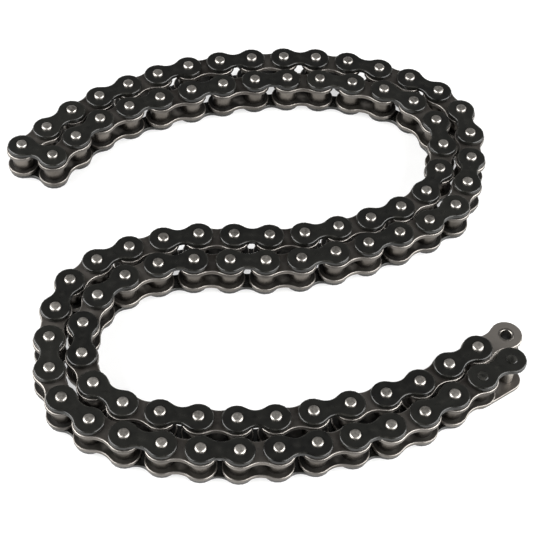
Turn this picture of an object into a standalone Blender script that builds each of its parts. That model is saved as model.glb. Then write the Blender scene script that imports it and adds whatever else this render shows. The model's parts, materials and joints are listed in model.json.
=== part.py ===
# A 420 roller chain of 90 links, opened at its connecting link and laid down doubled in an S.
# The chain is folded at its middle, so two strands run side by side from the fold to the free ends.
# Strand A ends in an inner link with open bushes. Strand B ends in the connecting link.
# Links are counted from the fold: odd ones are inner links, even ones are outer links.
import math

import bmesh
import bpy
import numpy as np
from mathutils import Matrix, Vector

MM = 0.001

# Driving dimensions, in metres
PITCH = 12.7 * MM
INNER_WIDTH = 6.35 * MM
ROLLER_RADIUS = 3.885 * MM
BUSH_RADIUS = 2.75 * MM
PIN_RADIUS = 1.96 * MM
PIN_LENGTH = 15.15 * MM
PIN_PROTRUSION = 1.0 * MM
PIN_CHAMFER = 0.3 * MM
PLATE_THICKNESS = 1.6 * MM
OUTER_EYE_RADIUS = 5.25 * MM
OUTER_WAIST = 3.1 * MM
INNER_EYE_RADIUS = 5.7 * MM
INNER_WAIST = 4.0 * MM
RUNNING_GAP = 0.08 * MM
SEAT_DEPTH = 0.1 * MM  # how far a solid roller runs into the plates beside it
CLIP_THICKNESS = 0.7 * MM
CLIP_RADIUS = 3.6 * MM
CLIP_MOUTH = 1.2 * MM
CLIP_SLOT = 0.9 * MM
CLIP_LEG = 1.98 * MM  # how far the legs run on past the first pin
CLIP_TIP = 3.24 * MM
LOOSE_PLATE_RADIUS = 4.85 * MM
RIVET_HEAD_HEIGHT = 0.35 * MM

# How the chain lies, in millimetres: both strands are smooth curves through these points, from the fold out.
# Strand B starts one pitch from strand A, at the other end of the fold link.
FOLD_LINK_DEGREES = -17
ROUTE_A = ((-93.9, 35.1), (-70.9, 62.4), (-30.4, 87.2), (24.3, 95.1), (68.1, 76.5), (71.5, 33.2), (53.2, 12.7),
           (12.9, -7.1), (-36, -14.8), (-58.3, -38.6), (-47.5, -71.8), (1.2, -76.1), (48.9, -59.6), (72.9, -41.1))
ROUTE_B = ((-60.4, 57.7), (-10.1, 80.4), (35.5, 82.3), (61, 65.2), (56.2, 29.3), (15.2, 5.3), (-33.9, -2.5),
           (-66.1, -26), (-65.7, -67.7), (-41.2, -86), (2.3, -88.2), (49.8, -72.5), (81.7, -47.1))
LINKS_A = 45
LINKS_B = 44

# Rigid runs of links, as the first and last link of each. The links after them are single.
RUNS_A = ((1, 5), (6, 10), (11, 15), (16, 19), (20, 23), (24, 27), (28, 31), (32, 35))
RUNS_B = ((1, 5), (6, 10), (11, 15), (16, 19), (20, 23), (24, 28), (29, 33))
SINGLES_A = range(36, 44)
SINGLES_B = range(34, 42)

# Heights up the stack, from the lower pin ends
OUTER_LOW = PIN_PROTRUSION
PLATE_GAP = (PIN_LENGTH - 2 * PIN_PROTRUSION - 4 * PLATE_THICKNESS - INNER_WIDTH) / 2
INNER_LOW = OUTER_LOW + PLATE_THICKNESS + PLATE_GAP
ROLLER_LOW = INNER_LOW + PLATE_THICKNESS
INNER_HIGH = ROLLER_LOW + INNER_WIDTH
OUTER_HIGH = INNER_HIGH + PLATE_THICKNESS + PLATE_GAP
STACK_TOP = OUTER_HIGH + PLATE_THICKNESS

BLACK_OXIDE = ("black_oxide_plate", (0.012, 0.012, 0.013), 0.3, 1.0)
BROWN_STEEL = ("tempered_steel_plate", (0.13, 0.115, 0.1), 0.4, 1.0)
BRIGHT_STEEL = ("ground_steel_pin", (0.55, 0.54, 0.52), 0.25, 1.0)
ROLLER_STEEL = ("roller_steel", (0.3, 0.28, 0.26), 0.35, 1.0)

# Fineness of a shape: segments round an eye, segments along a waist, sides of a round piece
FINE = (6, 4, 10)
PLAIN = (4, 2, 6)
COARSE = (3, 2, 5)


def clear_scene():
    for obj in list(bpy.data.objects):
        bpy.data.objects.remove(obj)


def new_collection(name):
    collection = bpy.data.collections.new(name)
    bpy.context.scene.collection.children.link(collection)
    return collection


def material(spec):
    name, colour, roughness, metallic = spec
    found = bpy.data.materials.get(name)
    if found:
        return found
    made = bpy.data.materials.new(name)
    made.use_nodes = True
    shader = made.node_tree.nodes["Principled BSDF"]
    shader.inputs["Base Color"].default_value = (*colour, 1)
    shader.inputs["Roughness"].default_value = roughness
    shader.inputs["Metallic"].default_value = metallic
    return made


def arc(centre, radius, start, end, steps):
    """Points on an arc between two angles in radians, both ends included."""
    angles = np.linspace(start, end, steps + 1)
    return np.stack([centre[0] + radius * np.cos(angles), centre[1] + radius * np.sin(angles)], 1)


def plate_outline(radius, waist, eye_steps, waist_steps):
    """Figure-of-eight plate from (0, 0) to (PITCH, 0): two eyes, joined by hollows tangent to both."""
    half = PITCH / 2
    hollow = (half**2 + waist**2 - radius**2) / (2 * (radius - waist))
    lean = math.atan2(waist + hollow, half)
    right = arc((PITCH, 0), radius, lean - math.pi, math.pi - lean, eye_steps)
    left = arc((0, 0), radius, lean, 2 * math.pi - lean, eye_steps)
    upper = arc((half, waist + hollow), hollow, -lean, lean - math.pi, waist_steps)
    lower = arc((half, -waist - hollow), hollow, math.pi - lean, lean, waist_steps)
    return np.vstack([right, upper[1:-1], left, lower[1:-1]])


def stadium_outline(radius, steps):
    right = arc((PITCH, 0), radius, -math.pi / 2, math.pi / 2, steps)
    left = arc((0, 0), radius, math.pi / 2, 1.5 * math.pi, steps)
    return np.vstack([right, left])


def circle(centre, radius, sides):
    """A hole's outline. The flats of the polygon touch the radius, so that a pin of it turns inside."""
    corner = radius / math.cos(math.pi / sides)
    return arc(centre, corner, 0, 2 * math.pi, sides)[:-1]


def flat_mesh(name, outlines, low, thickness):
    """A flat piece: a filled 2D curve, extruded, then made a closed mesh."""
    curve = bpy.data.curves.new(name, "CURVE")
    curve.dimensions = "2D"
    curve.fill_mode = "BOTH"
    curve.extrude = thickness / 2
    for outline in outlines:
        spline = curve.splines.new("POLY")
        spline.points.add(len(outline) - 1)
        for point, (x, y) in zip(spline.points, outline):
            point.co = (x, y, 0, 1)
        spline.use_cyclic_u = True
    mesh = mesh_of(bpy.data.objects.new(name, curve))
    bpy.data.curves.remove(curve)
    edit_mesh(mesh, lambda bm: (
        bmesh.ops.remove_doubles(bm, verts=bm.verts, dist=1e-6),
        bmesh.ops.translate(bm, verts=bm.verts, vec=(0, 0, low + thickness / 2)),
        bmesh.ops.recalc_face_normals(bm, faces=bm.faces),
    ))
    return mesh


def turned_mesh(name, profile, sides):
    """A turned piece: a profile of (radius, height) points from the top down, revolved about Z."""
    mesh = bpy.data.meshes.new(name)
    points = [(radius, 0, height) for radius, height in profile]
    edges = [(i, i + 1) for i in range(len(points) - 1)]
    if profile[0][0] > 0:
        edges.append((len(points) - 1, 0))
    mesh.from_pydata(points, edges, [])
    guide = bpy.data.objects.new(name, mesh)
    screw = guide.modifiers.new("turn", "SCREW")
    screw.steps = screw.render_steps = sides
    screw.use_merge_vertices = True
    screw.merge_threshold = 1e-6
    turned = mesh_of(guide)
    bpy.data.meshes.remove(mesh)
    edit_mesh(turned, lambda bm: bmesh.ops.recalc_face_normals(bm, faces=bm.faces))
    return turned


def mesh_of(obj):
    """The object's evaluated shape as a mesh of its own. The object is used up."""
    workshop.objects.link(obj)
    bpy.context.view_layer.update()
    mesh = bpy.data.meshes.new_from_object(obj.evaluated_get(bpy.context.evaluated_depsgraph_get()))
    bpy.data.objects.remove(obj)
    return mesh


def edit_mesh(mesh, action):
    bm = bmesh.new()
    bm.from_mesh(mesh)
    action(bm)
    bm.to_mesh(mesh)
    bm.free()


def joined_mesh(name, placed):
    """Copies of meshes, each moved by its matrix, in one mesh."""
    bm = bmesh.new()
    for mesh, matrix in placed:
        before = len(bm.verts)
        bm.from_mesh(mesh)
        bm.verts.ensure_lookup_table()
        bmesh.ops.transform(bm, matrix=matrix, verts=bm.verts[before:])
    made = bpy.data.meshes.new(name)
    bm.to_mesh(made)
    bm.free()
    return made


def boolean_mesh(name, body, added, cut):
    """One solid: body and added joined, with cut taken away."""
    base = bpy.data.objects.new(name, body)
    for label, operation, tool_mesh in (("join", "UNION", added), ("bore", "DIFFERENCE", cut)):
        if not tool_mesh.vertices:
            continue
        tool = bpy.data.objects.new(f"{name}_{label}", tool_mesh)
        tool.hide_render = True
        tool.display_type = "WIRE"
        workshop.objects.link(tool)
        modifier = base.modifiers.new(label, "BOOLEAN")
        modifier.operation = operation
        modifier.object = tool
    result = mesh_of(base)
    for tool in list(workshop.objects):
        bpy.data.objects.remove(tool)
    return result


def rod(radius, low, high, sides):
    return turned_mesh("rod", [(0, high), (radius, high), (radius, low), (0, low)], sides)


def post(sides):
    """Pin, bush and roller as one turned piece, for a joint inside a rigid run."""
    profile = [
        (0, PIN_LENGTH), (PIN_RADIUS, PIN_LENGTH),
        (PIN_RADIUS, INNER_HIGH + SEAT_DEPTH), (ROLLER_RADIUS, INNER_HIGH + SEAT_DEPTH),
        (ROLLER_RADIUS, ROLLER_LOW - SEAT_DEPTH), (PIN_RADIUS, ROLLER_LOW - SEAT_DEPTH),
        (PIN_RADIUS, 0), (0, 0),
    ]
    return turned_mesh("post", profile, sides)


def tube_mesh(name, outer, bore, low, high, sides):
    """A bush or roller. The bore's flats touch its radius."""
    inner = bore / math.cos(math.pi / sides)
    return turned_mesh(name, [(inner, high), (outer, high), (outer, low), (inner, low)], sides)


def pin_mesh(name, low, high, sides):
    """A link pin with its two ends chamfered."""
    profile = [
        (0, high), (PIN_RADIUS - PIN_CHAMFER, high), (PIN_RADIUS, high - PIN_CHAMFER),
        (PIN_RADIUS, low + PIN_CHAMFER), (PIN_RADIUS - PIN_CHAMFER, low), (0, low),
    ]
    return turned_mesh(name, profile, sides)


def link_plates(kind, fineness, hole=0):
    """The lower and upper plate of a link as meshes, along +X from the link's first pin."""
    eye_steps, waist_steps, sides = fineness
    if kind == "inner":
        outline = plate_outline(INNER_EYE_RADIUS, INNER_WAIST, eye_steps, waist_steps)
        heights = (INNER_LOW, INNER_HIGH)
    else:
        outline = plate_outline(OUTER_EYE_RADIUS, OUTER_WAIST, eye_steps, waist_steps)
        heights = (OUTER_LOW, OUTER_HIGH)
    outlines = [outline]
    if hole:
        outlines += [circle((0, 0), hole, sides), circle((PITCH, 0), hole, sides)]
    return [flat_mesh(f"{kind}_plate", outlines, low, PLATE_THICKNESS) for low in heights]


def smooth_curve(points, samples=60):
    """Catmull-Rom curve through the points, as a dense line."""
    points = np.array(points, float)
    ends = np.vstack([2 * points[0] - points[1], points, 2 * points[-1] - points[-2]])
    a, b, c, d = (ends[i:len(ends) - 3 + i, None, :] for i in range(4))
    t = np.linspace(0, 1, samples, endpoint=False)[None, :, None]
    line = 0.5 * (2 * b + (c - a) * t + (2 * a - 5 * b + 4 * c - d) * t**2 + (3 * b - a - 3 * c + d) * t**3)
    beyond = points[-1] + (points[-1] - points[-2])
    return np.vstack([line.reshape(-1, 2), points[-1], beyond])


def pins_along(line, links):
    """Joint centres, each exactly one pitch from the last, stepped along the line."""
    pins, k = [line[0]], 0
    for _ in range(links):
        here = pins[-1]
        while np.linalg.norm(line[k + 1] - here) < PITCH:
            k += 1
        step, offset = line[k + 1] - line[k], line[k] - here
        a, b, c = step @ step, 2 * offset @ step, offset @ offset - PITCH**2
        pins.append(line[k] + (math.sqrt(b * b - 4 * a * c) - b) / (2 * a) * step)
    return np.array(pins)


def lie_of_chain():
    """Joint centres of both strands, from the fold out."""
    start = np.array(ROUTE_A[0]) * MM
    turn = math.radians(FOLD_LINK_DEGREES)
    other = start + PITCH * np.array([math.cos(turn), math.sin(turn)])
    pins_a = pins_along(smooth_curve(np.array(ROUTE_A) * MM), LINKS_A)
    pins_b = pins_along(smooth_curve(np.vstack([other, np.array(ROUTE_B) * MM])), LINKS_B)
    return pins_a, pins_b


def is_inner(link):
    return link % 2 == 1


def heading(pins, link):
    """The way that a link points, from the pin nearer the fold."""
    step = pins[link] - pins[link - 1]
    return math.atan2(step[1], step[0])


def add_piece(name, mesh, spec, at, turn=0.0):
    """A named piece, with its origin at the pin nearer the fold."""
    obj = bpy.data.objects.new(name, mesh)
    chain.objects.link(obj)
    obj.parent = origin
    obj.location = (at[0], at[1], 0)
    obj.rotation_euler = (0, 0, turn)
    if not mesh.materials:
        mesh.materials.append(material(spec))
        mesh.shade_smooth()
        mesh.set_sharp_from_angle(angle=math.radians(40))
    return obj


def add_run(strand, pins, first, last):
    """Links that keep their lie as one solid. Its end joints stay open to the links beyond."""
    sides = COARSE[2]
    plates, posts, bores = [], [], []
    start = pins[first - 1]
    for link in range(first, last + 1):
        offset = pins[link - 1] - start
        matrix = Matrix.Translation((*offset, 0)) @ Matrix.Rotation(heading(pins, link), 4, "Z")
        kind = "inner" if is_inner(link) else "outer"
        plates += [(mesh, matrix) for mesh in coarse_plates[kind]]
    for k in range(first - 1, last + 1):
        matrix = Matrix.Translation((*(pins[k] - start), 0))
        end_link = {first - 1: first, last: last}.get(k)
        if end_link is None:
            posts.append((post(sides), matrix))
        elif is_inner(end_link):
            posts.append((end_roller, matrix))
            bores.append((end_bore, matrix))
        else:
            posts.append((end_pin, matrix))
    name = f"strand_{strand}_links_{first:02d}_to_{last:02d}"
    body = joined_mesh("plates", plates)
    mesh = boolean_mesh(name, body, joined_mesh("posts", posts), joined_mesh("bores", bores))
    add_piece(name, mesh, BLACK_OXIDE, start)


def single_link_mesh(kind):
    """A whole link as one solid: an outer link holds its two pins, an inner one its bushes and rollers."""
    sides = PLAIN[2]
    ends = [Matrix.Identity(4), Matrix.Translation((PITCH, 0, 0))]
    body = joined_mesh("plates", [(mesh, ends[0]) for mesh in link_plates(kind, PLAIN)])
    if kind == "outer":
        added = [(rod(PIN_RADIUS, 0, PIN_LENGTH, sides), end) for end in ends]
        cut = []
    else:
        added, cut = [(end_roller, end) for end in ends], [(end_bore, end) for end in ends]
    return boolean_mesh(kind, body, joined_mesh("added", added), joined_mesh("cut", cut))


def add_outer_link(label, at, turn, pin_names):
    """An outer link in its separate pieces."""
    direction = Vector((math.cos(turn), math.sin(turn), 0)) * PITCH
    for place, mesh in zip(("bottom", "top"), fine_outer_plates):
        add_piece(f"{label}_outer_plate_{place}", mesh, BLACK_OXIDE, at, turn)
    for end, name in enumerate(pin_names):
        add_piece(name, fine_pin, BRIGHT_STEEL, Vector((*at, 0)) + direction * end, turn)


def add_inner_link(label, at, turn):
    """An inner link in its separate pieces."""
    direction = Vector((math.cos(turn), math.sin(turn), 0)) * PITCH
    for place, mesh in zip(("bottom", "top"), fine_inner_plates):
        add_piece(f"{label}_inner_plate_{place}", mesh, BROWN_STEEL, at, turn)
    for end in (0, 1):
        place = Vector((*at, 0)) + direction * end
        add_piece(f"{label}_bush_{end + 1}", fine_bush, BRIGHT_STEEL, place, turn)
        add_piece(f"{label}_roller_{end + 1}", fine_roller, ROLLER_STEEL, place, turn)


def clip_outline():
    """Spring clip: two legs from a round nose at the second pin, open past the first pin."""
    seat = PIN_RADIUS + RUNNING_GAP
    corner = seat / math.cos(math.pi / 12)  # so that the flats of the seats clear the pins
    nose = arc((PITCH, 0), CLIP_RADIUS, -math.pi / 2, math.pi / 2, 6)
    lift = math.asin(CLIP_MOUTH / seat)
    tuck = math.asin(CLIP_SLOT / seat)
    upper_end = [(-CLIP_LEG, CLIP_RADIUS), (-CLIP_TIP, CLIP_MOUTH + CLIP_SLOT)]
    upper_seat = arc((0, 0), corner, math.pi - lift, tuck, 5)
    far_seat = arc((PITCH, 0), corner, math.pi - tuck, tuck - math.pi, 9)
    lower = [(x, -y) for x, y in np.vstack([upper_end, upper_seat])[::-1]]
    return np.vstack([nose, upper_end, upper_seat, far_seat, lower])


def add_connecting_link(label, at, turn):
    """Top plate with riveted pins, loose stadium plate below, and the spring clip under it."""
    direction = Vector((math.cos(turn), math.sin(turn), 0)) * PITCH
    hole = PIN_RADIUS + RUNNING_GAP
    sides = FINE[2]
    holes = [circle((0, 0), hole, sides), circle((PITCH, 0), hole, sides)]
    figure = plate_outline(OUTER_EYE_RADIUS, OUTER_WAIST, *FINE[:2])
    loose = stadium_outline(LOOSE_PLATE_RADIUS, FINE[0])
    top = flat_mesh("connecting_plate_top", [figure, *holes], OUTER_HIGH, PLATE_THICKNESS)
    bottom = flat_mesh("connecting_plate_bottom", [loose, *holes], OUTER_LOW, PLATE_THICKNESS)
    clip_low = OUTER_LOW - CLIP_THICKNESS - RUNNING_GAP
    clip = flat_mesh("spring_clip", [clip_outline()], clip_low, CLIP_THICKNESS)
    pin = pin_mesh("connecting_pin", 0, STACK_TOP + RIVET_HEAD_HEIGHT, sides)
    add_piece(f"{label}_plate_top", top, BLACK_OXIDE, at, turn)
    add_piece(f"{label}_plate_bottom", bottom, BROWN_STEEL, at, turn)
    add_piece(f"{label}_spring_clip", clip, BROWN_STEEL, at, turn)
    for end in (0, 1):
        add_piece(f"{label}_pin_{end + 1}", pin, BRIGHT_STEEL, Vector((*at, 0)) + direction * end, turn)


def stand_on_centre():
    """Moves the whole chain so that the middle of its box's underside is at the world's origin."""
    bpy.context.view_layer.update()
    corners = np.array([obj.matrix_world @ v.co for obj in chain.objects if obj.type == "MESH"
                        for v in obj.data.vertices])
    middle = (corners.min(axis=0) + corners.max(axis=0)) / 2
    origin.location = (-middle[0], -middle[1], -corners.min(axis=0)[2])


clear_scene()
workshop = new_collection("cutters")
chain = new_collection("drive_chain")
origin = bpy.data.objects.new("chain_origin", None)
chain.objects.link(origin)

coarse_plates = {kind: link_plates(kind, COARSE) for kind in ("inner", "outer")}
fine_outer_plates = link_plates("outer", FINE, PIN_RADIUS + RUNNING_GAP)
fine_inner_plates = link_plates("inner", FINE, BUSH_RADIUS + RUNNING_GAP)
bore_radius = PIN_RADIUS + RUNNING_GAP
fine_bush = tube_mesh("bush", BUSH_RADIUS, bore_radius, INNER_LOW, INNER_HIGH + PLATE_THICKNESS, FINE[2])
fine_roller = tube_mesh("roller", ROLLER_RADIUS, BUSH_RADIUS + RUNNING_GAP, ROLLER_LOW + RUNNING_GAP,
                        INNER_HIGH - RUNNING_GAP, FINE[2])
fine_pin = pin_mesh("pin", 0, PIN_LENGTH, FINE[2])
end_pin = rod(PIN_RADIUS, 0, PIN_LENGTH, PLAIN[2])
end_roller = rod(ROLLER_RADIUS, ROLLER_LOW - SEAT_DEPTH, INNER_HIGH + SEAT_DEPTH, PLAIN[2])
end_bore = rod(bore_radius / math.cos(math.pi / PLAIN[2]), 0, PIN_LENGTH, PLAIN[2])

PINS = dict(zip("ab", lie_of_chain()))
for strand, runs in (("a", RUNS_A), ("b", RUNS_B)):
    for first, last in runs:
        add_run(strand, PINS[strand], first, last)

single_meshes = {kind: single_link_mesh(kind) for kind in ("inner", "outer")}
for strand, links in (("a", SINGLES_A), ("b", SINGLES_B)):
    for link in links:
        kind = "inner" if is_inner(link) else "outer"
        spec = BROWN_STEEL if kind == "inner" else BLACK_OXIDE
        pins = PINS[strand]
        turn = heading(pins, link)
        add_piece(f"link_{strand}{link}_{kind}", single_meshes[kind], spec, pins[link - 1], turn)

fold_turn = math.radians(FOLD_LINK_DEGREES)
add_outer_link("fold_link", PINS["a"][0], fold_turn, ("fold_link_pin_1", "fold_link_pin_2"))
for strand, link in (("a", 44), ("b", 42)):
    pins, label = PINS[strand], f"link_{strand}{link}"
    add_outer_link(label, pins[link - 1], heading(pins, link), (f"{label}_pin_1", f"{label}_pin_2"))
for strand, link in (("a", 45), ("b", 43)):
    pins = PINS[strand]
    add_inner_link(f"link_{strand}{link}", pins[link - 1], heading(pins, link))
add_connecting_link("connecting_link", PINS["b"][43], heading(PINS["b"], 44))
stand_on_centre()
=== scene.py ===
import json
import math

import bpy
import numpy as np
from mathutils import Matrix, Vector

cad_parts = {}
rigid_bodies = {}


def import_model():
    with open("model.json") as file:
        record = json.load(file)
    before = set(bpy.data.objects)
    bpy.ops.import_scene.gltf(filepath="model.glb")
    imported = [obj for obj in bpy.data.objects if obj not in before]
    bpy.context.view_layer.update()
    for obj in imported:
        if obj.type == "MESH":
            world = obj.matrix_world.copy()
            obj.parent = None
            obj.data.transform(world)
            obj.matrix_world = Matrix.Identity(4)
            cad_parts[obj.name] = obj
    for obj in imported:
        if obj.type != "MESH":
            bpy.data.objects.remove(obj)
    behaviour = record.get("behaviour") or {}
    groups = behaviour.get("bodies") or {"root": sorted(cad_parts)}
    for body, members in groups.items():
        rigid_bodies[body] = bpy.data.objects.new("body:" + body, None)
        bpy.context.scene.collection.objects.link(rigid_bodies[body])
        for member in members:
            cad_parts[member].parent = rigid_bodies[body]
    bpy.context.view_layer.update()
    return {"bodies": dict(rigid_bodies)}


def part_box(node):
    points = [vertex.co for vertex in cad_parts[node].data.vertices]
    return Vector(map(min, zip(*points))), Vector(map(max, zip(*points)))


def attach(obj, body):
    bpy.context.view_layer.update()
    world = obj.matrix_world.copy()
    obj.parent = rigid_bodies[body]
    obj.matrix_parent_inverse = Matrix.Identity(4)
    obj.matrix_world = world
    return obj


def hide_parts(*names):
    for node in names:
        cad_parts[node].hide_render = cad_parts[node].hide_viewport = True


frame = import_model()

# A 420 motorcycle chain of 90 links, opened at its connecting link and laid doubled in an S.
# Links are counted from the fold: odd ones are inner links, even ones are outer links.
mm = 0.001
up = 2  # the Z axis in an array of points

# The stack of plates, from the lower pin ends up
chain = {
    "pitch": 12.7 * mm,
    "innerWidth": 6.35 * mm,
    "plateThickness": 1.6 * mm,
    "plateGap": 0.2 * mm,
    "pinProud": 1.0 * mm,
}
outerLow = chain["pinProud"]
innerLow = outerLow + chain["plateThickness"] + chain["plateGap"]
rollerLow = innerLow + chain["plateThickness"]
innerHigh = rollerLow + chain["innerWidth"]
outerHigh = innerHigh + chain["plateThickness"] + chain["plateGap"]
stackTop = outerHigh + chain["plateThickness"]
pinTop = stackTop + chain["pinProud"]

# How finely the shapes are cut
cut = {
    "arcPoints": 4,  # in a rounded shoulder or a rounded pin end
    "domePoints": 5,
    "topInset": 0.25 * mm,  # from a plate's shoulder to the ring where the wear ends
    "underInset": 0.3 * mm,  # from its other chamfer to the edge of the flat that faces the rollers
    "weld": 1e-7,
    "sharpDegrees": 40,
}


# how the chain lies
lay = {
    "foldDegrees": -17,  # heading of the outer link at the fold, which joins the two strands
    "routeA": (
        (-93.9, 35.1), (-70.9, 62.4), (-30.4, 87.2), (24.3, 95.1), (68.1, 76.5), (71.5, 33.2), (53.2, 12.7),
        (12.9, -7.1), (-36, -14.8), (-58.3, -38.6), (-47.5, -71.8), (1.2, -76.1), (48.9, -59.6),
        (72.9, -41.1)),
    "routeB": (
        (-60.4, 57.7), (-10.1, 80.4), (35.5, 82.3), (61, 65.2), (56.2, 29.3), (15.2, 5.3), (-33.9, -2.5),
        (-66.1, -26), (-65.7, -67.7), (-41.2, -86), (2.3, -88.2), (49.8, -72.5), (81.7, -47.1)),
    "linksA": 45,
    "linksB": 44,
}


def routeLine(points, samples=60):
    # Catmull-Rom: between b and c the line is half of 2b + (c-a)t + (2a-5b+4c-d)t2 + (3b-a-3c+d)t3
    ends = np.vstack([2 * points[0] - points[1], points, 2 * points[-1] - points[-2]])
    a, b, c, d = (ends[i:len(ends) - 3 + i, None, :] for i in range(4))
    t = np.linspace(0, 1, samples, endpoint=False)[None, :, None]
    line = 0.5 * (2 * b + (c - a) * t + (2 * a - 5 * b + 4 * c - d) * t**2 + (3 * b - a - 3 * c + d) * t**3)
    return np.vstack([line.reshape(-1, 2), points[-1], 2 * points[-1] - points[-2]])


def pinsAlong(line, links):
    # each pin is where the line first gets exactly one pitch away from the pin before
    pins, k = [line[0]], 0
    for _ in range(links):
        while np.linalg.norm(line[k + 1] - pins[-1]) < chain["pitch"]:
            k += 1
        step, offset = line[k + 1] - line[k], line[k] - pins[-1]
        a, b, c = step @ step, 2 * offset @ step, offset @ offset - chain["pitch"] ** 2
        pins.append(line[k] + (math.sqrt(b * b - 4 * a * c) - b) / (2 * a) * step)
    return np.array(pins)


def layOut():
    # pin centres of both strands, moved so that the first pin is where the frame has it
    foldTurn = math.radians(lay["foldDegrees"])
    start = np.array(lay["routeA"][0]) * mm
    other = start + chain["pitch"] * np.array([math.cos(foldTurn), math.sin(foldTurn)])
    pinsA = pinsAlong(routeLine(np.array(lay["routeA"]) * mm), lay["linksA"])
    pinsB = pinsAlong(routeLine(np.vstack([other, np.array(lay["routeB"]) * mm])), lay["linksB"])
    low, high = (np.array(corner)[:2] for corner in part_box("fold_link_pin_1"))
    moved = (low + high) / 2 - start
    return {"a": pinsA + moved, "b": pinsB + moved}, moved


pins, layOffset = layOut()


def linkPlace(strand, link):
    # (x, y, heading) of a link, from its pin nearer the fold
    here, there = pins[strand][link - 1], pins[strand][link]
    return (*here, math.atan2(there[1] - here[1], there[0] - here[0]))


foldPlace = (*pins["a"][0], math.radians(lay["foldDegrees"]))
print("laid out", len(pins["a"]) + len(pins["b"]), "pins")


# Each shape is made once, along +X from a link's first pin.
def gridFaces(rings, around, closed):
    # quads between ring r and r + 1, wound so that a profile that climbs outside faces out
    r, a = np.meshgrid(np.arange(rings if closed else rings - 1), np.arange(around), indexing="ij")
    here, beside = r * around + a, r * around + (a + 1) % around
    above, across = (here + around) % (rings * around), (beside + around) % (rings * around)
    return np.stack([here, beside, across, above], -1).reshape(-1, 4)


def turnedShape(profile, sides, closed=False, wear=None, second=()):
    # point = (r cos a, r sin a, z) for each (r, z) of the profile and each angle a
    # the bands that second names take the piece's second material
    radius, height = np.array(profile).T
    angle = np.arange(sides) * 2 * math.pi / sides
    points = np.stack([
        np.outer(radius, np.cos(angle)), np.outer(radius, np.sin(angle)),
        np.repeat(height[:, None], sides, 1)], -1).reshape(-1, 3)
    faces = [gridFaces(len(radius), sides, closed)]
    slots = np.isin(np.arange(len(faces[0])) // sides, second)
    if not closed:  # a flat cap at each end
        last = (len(radius) - 1) * sides
        faces += [np.arange(sides)[None, ::-1], (last + np.arange(sides))[None]]
        slots = np.append(slots, (False, len(radius) - 2 in second))
    worn = np.zeros(len(radius)) if wear is None else np.array(wear, float)
    return {"points": points, "faces": faces, "wear": np.repeat(worn, sides), "slots": slots}


def halfOutline(plate, inset):
    # upper hollow, round the eye, lower hollow, then up the middle line: eye and hollow arcs share tangents
    eye, waist, half = plate["eye"], plate["waist"], chain["pitch"] / 2
    if waist >= eye:  # straight sides
        hollow, lean = 0, math.pi / 2
        x = np.linspace(half, 0, plate["waistSteps"] + 1)
        upper = np.stack([x, np.full_like(x, eye - inset)], 1)
    else:
        hollow = (half**2 + waist**2 - eye**2) / (2 * (eye - waist))
        lean = math.atan2(waist + hollow, half)
        turn = np.linspace(-math.pi / 2, lean - math.pi, plate["waistSteps"] + 1)
        reach = hollow + inset
        upper = np.stack([half + reach * np.cos(turn), waist + hollow + reach * np.sin(turn)], 1)
    turn = np.linspace(lean, 2 * math.pi - lean, plate["eyeSteps"] + 1)
    eyeArc = (eye - inset) * np.stack([np.cos(turn), np.sin(turn)], 1)
    lower = upper[::-1] * (1, -1)
    y = np.linspace(-1, 1, plate["middleSteps"] + 1) * (min(eye, waist) - inset)
    middle = np.stack([np.full_like(y, half), y], 1)
    return np.vstack([upper[:-1], eyeArc[:-1], lower[:-1], middle[:-1]])


def plateShape(plate, low, outsideUp=True):
    # rings of the outline: up round the shoulder, in to the hole, down its wall and back out below
    high, shoulder, chamfer = low + chain["plateThickness"], plate["shoulder"], plate["chamfer"]
    roll = np.linspace(0, math.pi / 2, cut["arcPoints"])
    insets = [chamfer, 0, *(shoulder * (1 - np.cos(roll))), shoulder + cut["topInset"]]
    heights = [low, low + chamfer, *(high - shoulder * (1 - np.sin(roll))), high]
    wear = [0.9, 0.2, 0, 0.7, 1, 0.3, 0, 0, 0, 0]
    outlines = [halfOutline(plate, inset) for inset in insets]
    toHole = outlines[-1] / np.linalg.norm(outlines[-1], axis=1, keepdims=True) * plate["hole"]
    outlines += [toHole, toHole, halfOutline(plate, chamfer + cut["underInset"])]
    heights += [high, low, low]
    around = len(toHole)
    flat = np.stack(outlines)
    points = np.dstack([flat, np.repeat(np.array(heights)[:, None], around, 1)]).reshape(-1, 3)
    faces = gridFaces(len(outlines), around, True)
    ring, column = np.divmod(np.arange(len(faces)), around)
    onSeam = column >= around - plate["middleSteps"]
    onSeam &= (ring < len(insets) - 1) | (ring == len(outlines) - 1)
    faces = faces[~onSeam]  # the two halves meet there
    # on the inner plates this flat takes painted shade: it lies between the plates, where shade falls
    inside = ring[~onSeam] == len(outlines) - 2  # the flat that faces the rollers takes the second material
    if not outsideUp:
        points[:, up] = low + high - points[:, up]
        faces = faces[:, ::-1]
    mirrored = points * (-1, 1, 1) + (chain["pitch"], 0, 0)
    both = np.vstack([points, mirrored])
    bothFaces = np.vstack([faces, faces[:, ::-1] + len(points)])
    keys = np.round(both / cut["weld"]).astype(np.int64)
    _, first, index = np.unique(keys, axis=0, return_index=True, return_inverse=True)
    worn = np.tile(np.repeat(np.array(wear), around), 2)[first]
    faces = [index.reshape(-1)[bothFaces]]
    return {"points": both[first], "faces": faces, "wear": worn, "slots": np.tile(inside, 2)}


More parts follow.
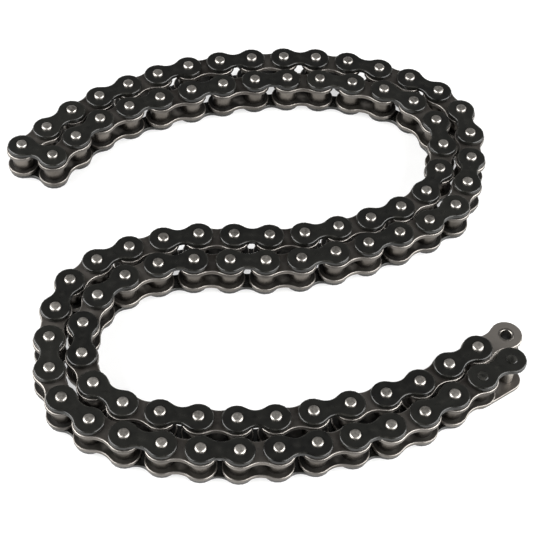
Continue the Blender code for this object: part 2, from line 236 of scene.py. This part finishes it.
outerPlate = {
    "eye": 5.25 * mm, "waist": 3.1 * mm, "hole": 2.04 * mm, "shoulder": 0.5 * mm, "chamfer": 0.15 * mm,
    "eyeSteps": 14, "waistSteps": 4, "middleSteps": 2,
}
innerPlate = {
    "eye": 5.7 * mm, "waist": 4.0 * mm, "hole": 2.83 * mm, "shoulder": 0.3 * mm, "chamfer": 0.15 * mm,
    "eyeSteps": 14, "waistSteps": 4, "middleSteps": 2,
}
loosePlate = {
    "eye": 4.85 * mm, "waist": 4.85 * mm, "hole": 2.04 * mm, "shoulder": 0.35 * mm, "chamfer": 0.15 * mm,
    "eyeSteps": 12, "waistSteps": 3, "middleSteps": 2,
}
pin = {"radius": 1.96 * mm, "round": 0.6 * mm, "crown": 0.05 * mm, "crownShare": 0.45, "sides": 20}
bush = {"radius": 2.75 * mm, "bore": 2.04 * mm, "round": 0.12 * mm, "lip": 0.1 * mm, "sides": 20}
roller = {
    "radius": 3.885 * mm, "bore": 2.83 * mm, "round": 0.35 * mm, "lip": 0.1 * mm, "gap": 0.08 * mm,
    "sides": 22,
}
rivet = {"head": 0.35 * mm, "domeFrom": 0.15, "domeTo": 1.35}  # the dome's angles, in radians
clip = {
    "thickness": 0.7 * mm, "radius": 3.6 * mm, "mouth": 1.2 * mm, "slot": 0.9 * mm,
    "leg": 1.98 * mm, "tip": 3.24 * mm, "gap": 0.08 * mm, "edge": 0.12 * mm, "edgeSegments": 2,
    "nearSteps": 8, "farSteps": 16, "noseSteps": 14,
}


def roundedEnd(height, upwards):
    # quarter circle from the pin's wall to its end, which is a little crowned in its middle
    turn = np.linspace(0, math.pi / 2, cut["arcPoints"])
    r = pin["radius"] - pin["round"] * (1 - np.cos(turn))
    z = -pin["crown"] - pin["round"] * (1 - np.sin(turn))
    side = 1 if upwards else -1
    end = [*zip(r, height + side * z), (pin["radius"] * pin["crownShare"], height)]
    return end if upwards else end[::-1]


def pinShape():
    profile = [*roundedEnd(0, False), *roundedEnd(pinTop, True)]
    wear = [0, 0, 0.5, 1, 0.5, 0.5, 1, 0.5, 0, 0]
    return turnedShape(profile, pin["sides"], wear=wear)


def connectingPinShape():
    # the upper end is spread over the plate in a low dome
    dome = np.linspace(rivet["domeFrom"], rivet["domeTo"], cut["domePoints"])
    rise = rivet["head"] * np.sin(dome) / math.sin(rivet["domeTo"])
    top = [*zip(pin["radius"] * np.cos(dome), stackTop + rise)]
    foot = roundedEnd(0, False)
    profile = [*foot, (pin["radius"], outerHigh), *top]
    wear = [0] * (len(profile) - len(top)) + [0.5, 1, 1, 1, 0.2]
    blacked = range(len(foot), len(profile))  # above the shank, where it was blacked with its plate
    return turnedShape(profile, pin["sides"], wear=wear, second=blacked)


def tubeShape(part, low, high, rounding):
    # rounded outside, with a small lip at each end of the bore; the bore wall is the last band
    outer, bore, lip = part["radius"], part["bore"], part["lip"]
    faded = 3 * lip  # the wear of the lip has faded this far into the bore
    corner = rounding * 0.3  # where the rounding is about half turned
    profile = [
        (bore, low + faded), (bore, low + lip), (bore + lip, low), (outer - rounding, low),
        (outer - corner, low + corner), (outer, low + rounding), (outer, high - rounding),
        (outer - corner, high - corner), (outer - rounding, high),
        (bore + lip, high), (bore, high - lip), (bore, high - faded)]
    wear = [0, 1, 0.7, 0.5, 1, 0, 0, 1, 0.5, 0.7, 1, 0]
    # on the bushes the bore wall band takes painted shade, dark so that the bore reads as deep
    return turnedShape(profile, part["sides"], closed=True, wear=wear, second=[len(profile) - 1])


def arc(centre, radius, start, end, steps):
    turn = np.linspace(start, end, steps + 1)
    return np.stack([centre + radius * np.cos(turn), radius * np.sin(turn)], 1)


def clipShape():
    # outline of two legs from a round nose at the second pin, carried straight up its thickness
    seat = pin["radius"] + clip["gap"]
    lift, tuck = math.asin(clip["mouth"] / seat), math.asin(clip["slot"] / seat)
    ends = np.array([(-clip["leg"], clip["radius"]), (-clip["tip"], clip["mouth"] + clip["slot"])])
    nearSeat = arc(0, seat, math.pi - lift, tuck, clip["nearSteps"])
    farSeat = arc(chain["pitch"], seat, math.pi - tuck, tuck - math.pi, clip["farSteps"])
    legs = np.vstack([ends, nearSeat])
    nose = arc(chain["pitch"], clip["radius"], -math.pi / 2, math.pi / 2, clip["noseSteps"])
    outline = np.vstack([nose, legs, farSeat, legs[::-1] * (1, -1)])
    high = outerLow - clip["gap"]
    heights = np.repeat([high - clip["thickness"], high], len(outline))
    points = np.column_stack([np.tile(outline, (2, 1)), heights])
    count = len(outline)
    faces = [gridFaces(2, count, False), np.arange(count)[None, ::-1], (count + np.arange(count))[None]]
    slots = np.zeros(count + 2, bool)
    return {"points": points, "faces": faces, "wear": np.ones(2 * count), "slots": slots}


shapes = {
    "outerBottom": plateShape(outerPlate, outerLow, False),
    "outerTop": plateShape(outerPlate, outerHigh),
    "innerBottom": plateShape(innerPlate, innerLow, False),
    "innerTop": plateShape(innerPlate, innerHigh),
    "looseBottom": plateShape(loosePlate, outerLow, False),
    "pin": pinShape(),
    "connectingPin": connectingPinShape(),
    "bush": tubeShape(bush, innerLow, innerHigh + chain["plateThickness"], bush["round"]),
    "roller": tubeShape(roller, rollerLow + roller["gap"], innerHigh - roller["gap"], roller["round"]),
    "clip": clipShape(),
}
print("shaped", len(shapes), "kinds of part")


def linear(hexColour):
    # sRGB hex to linear, with alpha
    value = np.array([int(hexColour[i:i + 2], 16) for i in (1, 3, 5)]) / 255
    return (*np.where(value <= 0.04045, value / 12.92, ((value + 0.055) / 1.055) ** 2.4), 1)


def addNode(tree, kind, settings=None, links=None):
    node = tree.nodes.new(kind)
    for key, value in (settings or {}).items():
        if isinstance(key, int) or key in node.inputs:
            node.inputs[key].default_value = value
        else:
            setattr(node, key, value)
    for key, source in (links or {}).items():
        tree.links.new(source, node.inputs[key])
    return node


def newMaterial(name):
    material = bpy.data.materials.new(name)
    material.use_nodes = True
    material.node_tree.nodes.clear()
    return material, material.node_tree


noise = {
    "cloudDetail": 3.0,
    "grainDetail": 2.0,
    "lowCloud": 0.35,  # most of the noise lies between these two
    "highCloud": 0.65,
    "bumpDepth": 0.1,  # of the grain's size
}


def steelMaterial(name, look):
    # a steel part: cloudy colour, another colour and gloss where its edges are worn, fine grain in the bump
    material, tree = newMaterial(name)
    where = addNode(tree, "ShaderNodeTexCoord").outputs["Object"]
    worn = addNode(tree, "ShaderNodeAttribute", {"attribute_name": "wear"}).outputs["Fac"]
    toneAndPaintedLight = addNode(tree, "ShaderNodeAttribute", {"attribute_name": "toneAndPaintedLight"}).outputs["Fac"]
    clouds, grain = (
        addNode(tree, "ShaderNodeTexNoise", {"Scale": 1 / look[size], "Detail": detail}, {"Vector": where})
        for size, detail in (("cloudSize", noise["cloudDetail"]), ("grainSize", noise["grainDetail"])))
    cloudTone = addNode(tree, "ShaderNodeMath", {"operation": "MULTIPLY_ADD", 1: look["cloudShare"]}, {
        0: clouds.outputs["Fac"], 2: toneAndPaintedLight})
    face = addNode(tree, "ShaderNodeMix", {
        "data_type": "RGBA", 6: linear(look["dark"]), 7: linear(look["light"])}, {0: cloudTone.outputs[0]})
    rubbed = addNode(tree, "ShaderNodeMapRange", {
        "From Min": noise["lowCloud"], "From Max": noise["highCloud"],
        "To Min": look["wearLeast"], "To Max": look["wearMost"]}, {"Value": clouds.outputs["Fac"]})
    wornShare = addNode(tree, "ShaderNodeMath", {"operation": "MULTIPLY"}, {0: rubbed.outputs[0], 1: worn})
    colour = addNode(tree, "ShaderNodeMix", {"data_type": "RGBA", 7: linear(look["edge"])}, {
        0: wornShare.outputs[0], 6: face.outputs[2]})
    faceRoughness = addNode(tree, "ShaderNodeMapRange", {
        "To Min": look["roughness"][0], "To Max": look["roughness"][1]}, {"Value": grain.outputs["Fac"]})
    roughness = addNode(tree, "ShaderNodeMix", {3: look["edgeRoughness"]}, {
        0: worn, 2: faceRoughness.outputs[0]})
    bump = addNode(tree, "ShaderNodeBump", {
        "Strength": look["bump"], "Distance": look["grainSize"] * noise["bumpDepth"]}, {
        "Height": grain.outputs["Fac"]})
    settings = {"Metallic": look["metallic"]}
    if not look["metallic"]:
        settings["IOR"] = look["ior"]
    shader = addNode(tree, "ShaderNodeBsdfPrincipled", settings, {
        "Base Color": colour.outputs[2], "Roughness": roughness.outputs[0],
        "Normal": bump.outputs["Normal"]})
    addNode(tree, "ShaderNodeOutputMaterial", None, {"Surface": shader.outputs["BSDF"]})
    return material


# Punched, tumbled and hot-blacked carbon steel: near black with a soft oily sheen, rubbed on its shoulders
blackOxide = {
    "dark": "#070706", "light": "#1a1a17", "edge": "#33322f", "wearLeast": 0.0, "wearMost": 0.7,
    "cloudSize": 2.5 * mm, "cloudShare": 1.0, "grainSize": 0.5 * mm, "roughness": (0.24, 0.38), "bump": 0.25,
    "edgeRoughness": 0.18, "metallic": 0.0, "ior": 1.47,
}
# Punched and tempered carbon steel: brown-grey temper colour, bright where the punch cut the edge
temperedSteel = {
    "dark": "#47433f", "light": "#8c8781", "edge": "#b3aea8", "wearLeast": 0.5, "wearMost": 0.95,
    "cloudSize": 5 * mm, "cloudShare": 0.6, "grainSize": 0.4 * mm, "roughness": (0.42, 0.55), "bump": 0.35,
    "edgeRoughness": 0.4, "metallic": 1.0,
}
# Ground and case-hardened bearing pin: bright, its sheared ends mottled
groundSteel = {
    "dark": "#5a5651", "light": "#c6c1ba", "edge": "#c8c4be", "wearLeast": 0.3, "wearMost": 0.8,
    "cloudSize": 1 * mm, "cloudShare": 1.5, "grainSize": 0.3 * mm, "roughness": (0.34, 0.5), "bump": 0.4,
    "edgeRoughness": 0.36, "metallic": 1.0,
}
# Cold-drawn and tumbled roller: warm satin grey
drawnSteel = {
    "dark": "#524e49", "light": "#847e77", "edge": "#b8b3ac", "wearLeast": 0.5, "wearMost": 1.0,
    "cloudSize": 3 * mm, "cloudShare": 0.8, "grainSize": 0.4 * mm, "roughness": (0.3, 0.42), "bump": 0.3,
    "edgeRoughness": 0.3, "metallic": 1.0,
}
# Painted shade between the plates and in the bores: a dark colour, so that the gaps and holes read as deep
recessPaintedShade = {
    "dark": "#0c0b0a", "light": "#292621", "edge": "#8f8a84", "wearLeast": 0.2, "wearMost": 0.7,
    "cloudSize": 2 * mm, "cloudShare": 0.8, "grainSize": 0.3 * mm, "roughness": (0.4, 0.55), "bump": 0.2,
    "edgeRoughness": 0.4, "metallic": 0.0, "ior": 1.47,
}
materials = {
    "black_oxide_plate": steelMaterial("blackOxideSteel", blackOxide),
    "tempered_steel_plate": steelMaterial("temperedPlateSteel", temperedSteel),
    "ground_steel_pin": steelMaterial("groundPinSteel", groundSteel),
    "roller_steel": steelMaterial("drawnRollerSteel", drawnSteel),
}
paintedShade = steelMaterial("recessPaintedShade", recessPaintedShade)
print("mixed", len(materials), "steels and the grease")

# each copy of a part is a little lighter or darker than the next
tones = {"seed": 420, "darkest": -0.35, "lightest": 0.15}
toneDraws = np.random.default_rng(tones["seed"])


def placeCopies(shape, places):
    # each copy is turned by its heading t: x' = x cos t - y sin t + px, y' = x sin t + y cos t + py
    places = np.array(places)
    cos, sin = np.cos(places[:, 2, None]), np.sin(places[:, 2, None])
    x, y, z = shape["points"].T
    points = np.stack([
        x * cos - y * sin + places[:, 0, None], x * sin + y * cos + places[:, 1, None],
        np.repeat(z[None], len(places), 0)], -1).reshape(-1, 3)
    step = np.arange(len(places)) * len(x)
    faces = [(face[None] + step[:, None, None]).reshape(-1, face.shape[1]) for face in shape["faces"]]
    drawn = toneDraws.uniform(tones["darkest"], tones["lightest"], len(places))
    slots = np.split(shape["slots"], np.cumsum([len(face) for face in shape["faces"]])[:-1])
    slots = np.concatenate([np.tile(slot, len(places)) for slot in slots])
    return points, faces, np.tile(shape["wear"], len(places)), np.repeat(drawn, len(x)), slots


def addPiece(name, parts, slotName, body, nodes, second=None, paintedLight=0):
    # parts is [(kind of shape, places)], all in one mesh; the last argument is added to its tones, as
    # painted light that draws the parts lighter
    points, faces, wear, toneAndPaintedLight, slots, count = [], [], [], [], [], 0
    for kind, places in parts:
        co, quads, worn, lightness, seconds = placeCopies(shapes[kind], places)
        points.append(co)
        faces += [face + count for face in quads]
        wear.append(worn)
        toneAndPaintedLight.append(lightness + paintedLight)
        slots.append(seconds)
        count += len(co)
    mesh = bpy.data.meshes.new(name)
    corners = np.concatenate([face.ravel() for face in faces])
    totals = np.concatenate([np.full(len(face), face.shape[1]) for face in faces])
    mesh.vertices.add(count)
    mesh.vertices.foreach_set("co", np.vstack(points).astype(np.float32).ravel())
    mesh.loops.add(len(corners))
    mesh.loops.foreach_set("vertex_index", corners.astype(np.int32))
    mesh.polygons.add(len(totals))
    mesh.polygons.foreach_set("loop_start", (np.cumsum(totals) - totals).astype(np.int32))
    mesh.polygons.foreach_set("loop_total", totals.astype(np.int32))
    mesh.update(calc_edges=True)
    for label, values in (("wear", wear), ("toneAndPaintedLight", toneAndPaintedLight)):
        values = np.concatenate(values).astype(np.float32)
        mesh.attributes.new(label, "FLOAT", "POINT").data.foreach_set("value", values)
    mesh.shade_smooth()
    mesh.set_sharp_from_angle(angle=math.radians(cut["sharpDegrees"]))
    mesh.materials.append(materials[slotName])
    if second:
        mesh.materials.append(second)
        mesh.polygons.foreach_set("material_index", np.concatenate(slots).astype(np.int32))
    piece = bpy.data.objects.new(name, mesh)
    bpy.context.scene.collection.objects.link(piece)
    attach(piece, body)
    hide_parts(*nodes)
    return piece


def atEnds(places):
    # the same places and one pitch further along each heading
    places = np.array(places)
    far = places.copy()
    far[:, 0] += chain["pitch"] * np.cos(places[:, 2])
    far[:, 1] += chain["pitch"] * np.sin(places[:, 2])
    return np.vstack([places, far])


def addLinks(label, strand, first, last, body, node):
    # the outer and inner links of one stretch, a piece for each kind of part
    links = range(first, last + 1)
    outer = [linkPlace(strand, link) for link in links if link % 2 == 0]
    inner = [linkPlace(strand, link) for link in links if link % 2 == 1]
    if outer:
        plates = [("outerBottom", outer), ("outerTop", outer)]
        addPiece("outerPlates" + label, plates, "black_oxide_plate", body, [node])
        addPiece("pins" + label, [("pin", atEnds(outer))], "ground_steel_pin", body, [node])
    if inner:
        plates = [("innerBottom", inner), ("innerTop", inner)]
        # the inner plates' inside flats and the bushes' bores take painted shade as their second material
        addPiece("innerPlates" + label, plates, "tempered_steel_plate", body, [node], paintedShade)
        addPiece("bushes" + label, [("bush", atEnds(inner))], "roller_steel", body, [node], paintedShade)
        addPiece("rollers" + label, [("roller", atEnds(inner))], "roller_steel", body, [node])


def addOuterLink(label, place, body, nodeLabel):
    for end, kind in (("Bottom", "outerBottom"), ("Top", "outerTop")):
        addPiece(f"outerPlate{end}{label}", [(kind, [place])], "black_oxide_plate", body,
                 [f"{nodeLabel}_outer_plate_{end.lower()}"])
    for end, at in enumerate(atEnds([place]), 1):
        addPiece(f"pin{end}{label}", [("pin", [at])], "ground_steel_pin", body, [f"{nodeLabel}_pin_{end}"])


def addInnerLink(label, place, body, nodeLabel, paintedLight=0):
    # the inner plates' inside flats and the bushes' bores take painted shade as their second material
    for end, kind in (("Bottom", "innerBottom"), ("Top", "innerTop")):
        addPiece(f"innerPlate{end}{label}", [(kind, [place])], "tempered_steel_plate", body,
                 [f"{nodeLabel}_inner_plate_{end.lower()}"], paintedShade, paintedLight)
    for end, at in enumerate(atEnds([place]), 1):
        addPiece(f"bush{end}{label}", [("bush", [at])], "roller_steel", body, [f"{nodeLabel}_bush_{end}"],
                 paintedShade)
        addPiece(f"roller{end}{label}", [("roller", [at])], "roller_steel", f"{nodeLabel}_roller_{end}",
                 [f"{nodeLabel}_roller_{end}"])


runs = {
    "a": ((1, 5), (6, 10), (11, 15), (16, 19), (20, 23), (24, 27), (28, 31), (32, 35)),
    "b": ((1, 5), (6, 10), (11, 15), (16, 19), (20, 23), (24, 28), (29, 33)),
}
singles = {"a": range(36, 44), "b": range(34, 42)}

bodies = frame["bodies"]
for strand, stretches in runs.items():
    for first, last in stretches:
        node = f"strand_{strand}_links_{first:02d}_to_{last:02d}"
        body = node if node in bodies else "laid_chain"
        addLinks(f"{strand.upper()}{first:02d}to{last:02d}", strand, first, last, body, node)
print("laid the runs")

for strand, links in singles.items():
    for link in links:
        kind = "inner" if link % 2 else "outer"
        body = f"link_{strand}{link}"
        addLinks(f"{strand.upper()}{link}", strand, link, link, body, f"{body}_{kind}")
addOuterLink("Fold", foldPlace, "laid_chain", "fold_link")
addOuterLink("A44", linkPlace("a", 44), "link_a44", "link_a44")
addOuterLink("B42", linkPlace("b", 42), "link_b42", "link_b42")
# Painted light: the inner link at strand A's free end lies in the open, and it is drawn lighter than the
# links shaded between outer plates
openEndPaintedLight = 0.9  # the inner link at strand A's free end
addInnerLink("A45", linkPlace("a", 45), "link_a45", "link_a45", openEndPaintedLight)
addInnerLink("B43", linkPlace("b", 43), "link_b43", "link_b43")
print("laid the single links")

joinPlace = linkPlace("b", 44)
addPiece("connectingPlateTop", [("outerTop", [joinPlace])], "black_oxide_plate", "connecting_link",
         ["connecting_link_plate_top"])
addPiece("connectingPlateBottom", [("looseBottom", [joinPlace])], "tempered_steel_plate", "connecting_link",
         ["connecting_link_plate_bottom"])
springClip = addPiece("springClip", [("clip", [joinPlace])], "tempered_steel_plate", "connecting_link",
                      ["connecting_link_spring_clip"])
edge = springClip.modifiers.new("edge", "BEVEL")
edge.width, edge.segments = clip["edge"], clip["edgeSegments"]
for end, at in enumerate(atEnds([joinPlace]), 1):
    addPiece(f"connectingPin{end}", [("connectingPin", [at])], "ground_steel_pin", "connecting_link",
             [f"connecting_link_pin_{end}"], materials["black_oxide_plate"])
print("closed the connecting link")


# floor, light and camera
studio = {
    "floorSize": 4.0,
    "paper": "#b3b3b2",
    "paperRoughness": 0.9,
    "paperGlow": 0.6,  # light shining up through the paper
    "frontDim": 0.04,  # the room in front of the table, and behind it
    "backBright": 0.2,
    "fade": 0.5,  # Y of the direction at which the room's light stops changing
    "boxSize": (1.0, 0.75),
    "boxDistance": 0.8,
    "boxPower": 16.0,
    "boxDirection": (0.84, -0.27, 0.47),
}

half = studio["floorSize"]
floorMesh = bpy.data.meshes.new("floor")
corners = [(-half, -half, 0), (half, -half, 0), (half, half, 0), (-half, half, 0)]
floorMesh.from_pydata(corners, [], [(0, 1, 2, 3)])
floor = bpy.data.objects.new("floor", floorMesh)
bpy.context.scene.collection.objects.link(floor)
paper, paperTree = newMaterial("whitePaperSweep")
paperShader = addNode(paperTree, "ShaderNodeBsdfPrincipled", {
    "Base Color": linear(studio["paper"]), "Roughness": studio["paperRoughness"],
    "Emission Color": (1, 1, 1, 1), "Emission Strength": studio["paperGlow"]})
addNode(paperTree, "ShaderNodeOutputMaterial", None, {"Surface": paperShader.outputs["BSDF"]})
floorMesh.materials.append(paper)

world = bpy.data.worlds.new("room")
bpy.context.scene.world = world
world.use_nodes = True
room = world.node_tree
room.nodes.clear()
direction = addNode(room, "ShaderNodeTexCoord").outputs["Generated"]
axes = addNode(room, "ShaderNodeSeparateXYZ", None, {"Vector": direction})
glow = addNode(room, "ShaderNodeMapRange", {
    "From Min": -studio["fade"], "From Max": studio["fade"],
    "To Min": studio["frontDim"], "To Max": studio["backBright"]}, {"Value": axes.outputs["Y"]})
air = addNode(room, "ShaderNodeBackground", {"Color": (1, 1, 1, 1)}, {"Strength": glow.outputs[0]})
addNode(room, "ShaderNodeOutputWorld", None, {"Surface": air.outputs[0]})

middle = Vector((0, 0, stackTop))
for side, name in ((-1, "softBoxLeft"), (1, "softBoxRight")):
    lamp = bpy.data.lights.new(name, "AREA")
    lamp.shape = "RECTANGLE"
    lamp.size, lamp.size_y = studio["boxSize"]
    lamp.energy = studio["boxPower"]
    box = bpy.data.objects.new(name, lamp)
    away = Vector(studio["boxDirection"]).normalized()
    away.x *= side
    box.location = middle + away * studio["boxDistance"]
    box.rotation_euler = away.to_track_quat("Z", "Y").to_euler()
    box.visible_camera = False
    bpy.context.scene.collection.objects.link(box)

view = {
    "aside": 9.79 * mm,
    "distanceBack": 358.98 * mm,
    "height": 429.83 * mm,
    "tilt": 38.84,  # degrees away from straight down
    "pan": 1.41,
    "roll": 4.08,
    "lens": 106.18,
    "sensor": 36,
    "nearest": 0.01,
}
eye = bpy.data.cameras.new("camera")
eye.lens = view["lens"]
eye.sensor_width = view["sensor"]
eye.clip_start = view["nearest"]
camera = bpy.data.objects.new("camera", eye)
place = (layOffset[0] + view["aside"], layOffset[1] - view["distanceBack"], view["height"] + pinTop)
pan, tilt, roll = (
    Matrix.Rotation(math.radians(view[turn]), 4, axis)
    for turn, axis in (("pan", "Z"), ("tilt", "X"), ("roll", "Z")))
camera.matrix_world = Matrix.Translation(place) @ pan @ (tilt @ roll)
bpy.context.scene.collection.objects.link(camera)
bpy.context.scene.camera = camera
bpy.context.scene.view_settings.view_transform = "Standard"
print("lit the table")

bpy.context.view_layer.update()
